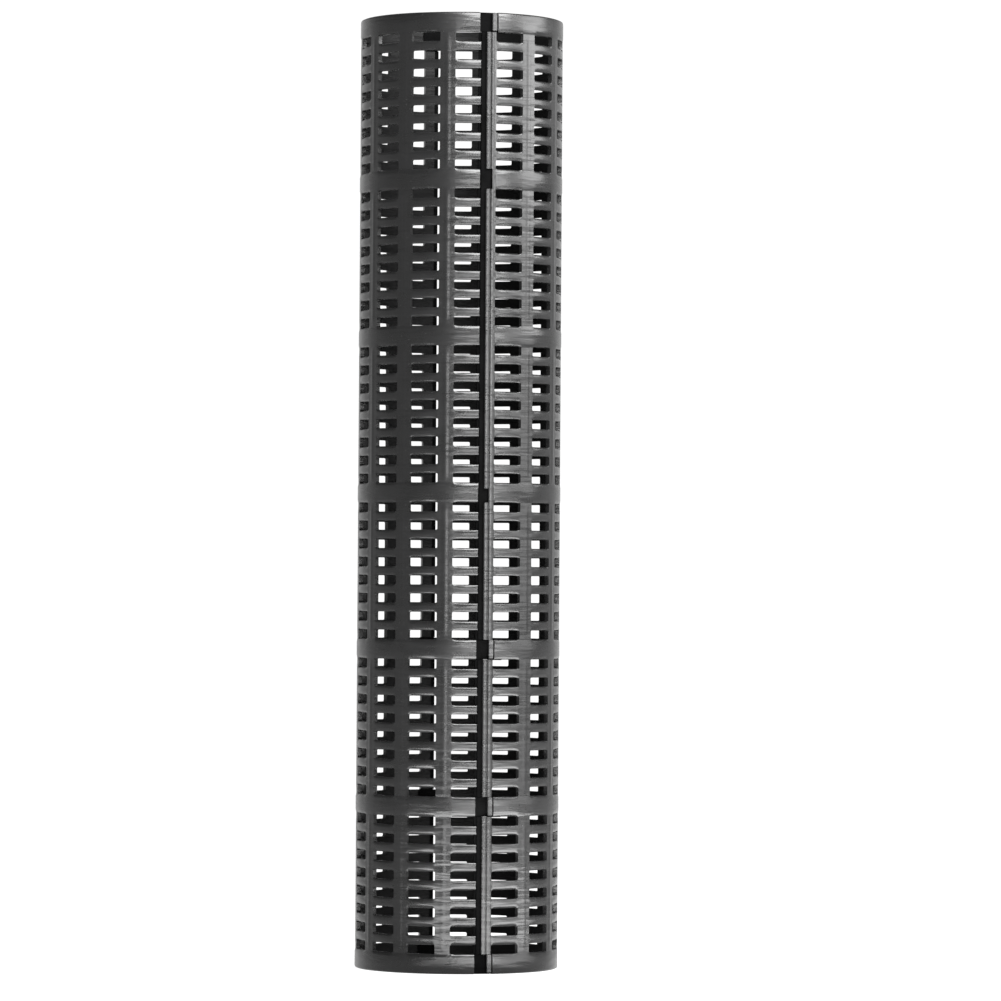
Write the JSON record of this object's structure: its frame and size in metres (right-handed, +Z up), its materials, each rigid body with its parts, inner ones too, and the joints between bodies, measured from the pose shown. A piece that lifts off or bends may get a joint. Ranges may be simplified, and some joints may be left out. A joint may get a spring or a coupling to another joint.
{
  "type": "tree guard tube",
  "caption": "Slotted plastic tube that stands round a young tree's trunk, made of two half-round shells joined by snap hooks along two upright seams.",
  "frame": {"origin": "on the tube's axis, in the plane of the bottom rim", "axes": "+Z up along the tube; -Y towards the front seam, +Y towards the rear seam; the right half shell is on +X"},
  "size_m": [0.1068, 0.1075, 0.5],
  "materials": {
    "black_plastic": "semi-gloss moulded polypropylene with fine scuffs"
  },
  "bodies": {
    "left_half": {"left_half_shell": "black_plastic"},
    "right_half": {"right_half_shell": "black_plastic"},
    "front_hook_1_body": {"front_hook_1": "black_plastic"},
    "front_hook_2_body": {"front_hook_2": "black_plastic"},
    "front_hook_3_body": {"front_hook_3": "black_plastic"},
    "front_hook_4_body": {"front_hook_4": "black_plastic"},
    "rear_hook_1_body": {"rear_hook_1": "black_plastic"},
    "rear_hook_2_body": {"rear_hook_2": "black_plastic"},
    "rear_hook_3_body": {"rear_hook_3": "black_plastic"},
    "rear_hook_4_body": {"rear_hook_4": "black_plastic"}
  },
  "joints": [
    {"name": "right_half_swing", "type": "hinge", "parent": "left_half", "child": "right_half", "pos_m": [0.0004, 0.052, 0], "axis": [0, 0, 1], "range_deg": [0, 110]},
    {"name": "front_hook_1_flex", "type": "hinge", "parent": "left_half", "child": "front_hook_1_body", "pos_m": [-0.00227, -0.05095, 0.49484], "axis": [0, 0, 1], "range_deg": [0, 10], "stiffness_Nm_per_rad": 0.5},
    {"name": "front_hook_2_flex", "type": "hinge", "parent": "left_half", "child": "front_hook_2_body", "pos_m": [-0.00227, -0.05095, 0.16839], "axis": [0, 0, 1], "range_deg": [0, 10], "stiffness_Nm_per_rad": 0.5},
    {"name": "front_hook_3_flex", "type": "hinge", "parent": "left_half", "child": "front_hook_3_body", "pos_m": [-0.00227, -0.05095, 0.08677], "axis": [0, 0, 1], "range_deg": [0, 10], "stiffness_Nm_per_rad": 0.5},
    {"name": "front_hook_4_flex", "type": "hinge", "parent": "left_half", "child": "front_hook_4_body", "pos_m": [-0.00227, -0.05095, 0.00516], "axis": [0, 0, 1], "range_deg": [0, 10], "stiffness_Nm_per_rad": 0.5},
    {"name": "rear_hook_1_flex", "type": "hinge", "parent": "right_half", "child": "rear_hook_1_body", "pos_m": [0.00461, 0.05079, 0.49484], "axis": [0, 0, 1], "range_deg": [0, 10], "stiffness_Nm_per_rad": 0.5},
    {"name": "rear_hook_2_flex", "type": "hinge", "parent": "right_half", "child": "rear_hook_2_body", "pos_m": [0.00461, 0.05079, 0.16839], "axis": [0, 0, 1], "range_deg": [0, 10], "stiffness_Nm_per_rad": 0.5},
    {"name": "rear_hook_3_flex", "type": "hinge", "parent": "right_half", "child": "rear_hook_3_body", "pos_m": [0.00461, 0.05079, 0.08677], "axis": [0, 0, 1], "range_deg": [0, 10], "stiffness_Nm_per_rad": 0.5},
    {"name": "rear_hook_4_flex", "type": "hinge", "parent": "right_half", "child": "rear_hook_4_body", "pos_m": [0.00461, 0.05079, 0.00516], "axis": [0, 0, 1], "range_deg": [0, 10], "stiffness_Nm_per_rad": 0.5}
  ]
}
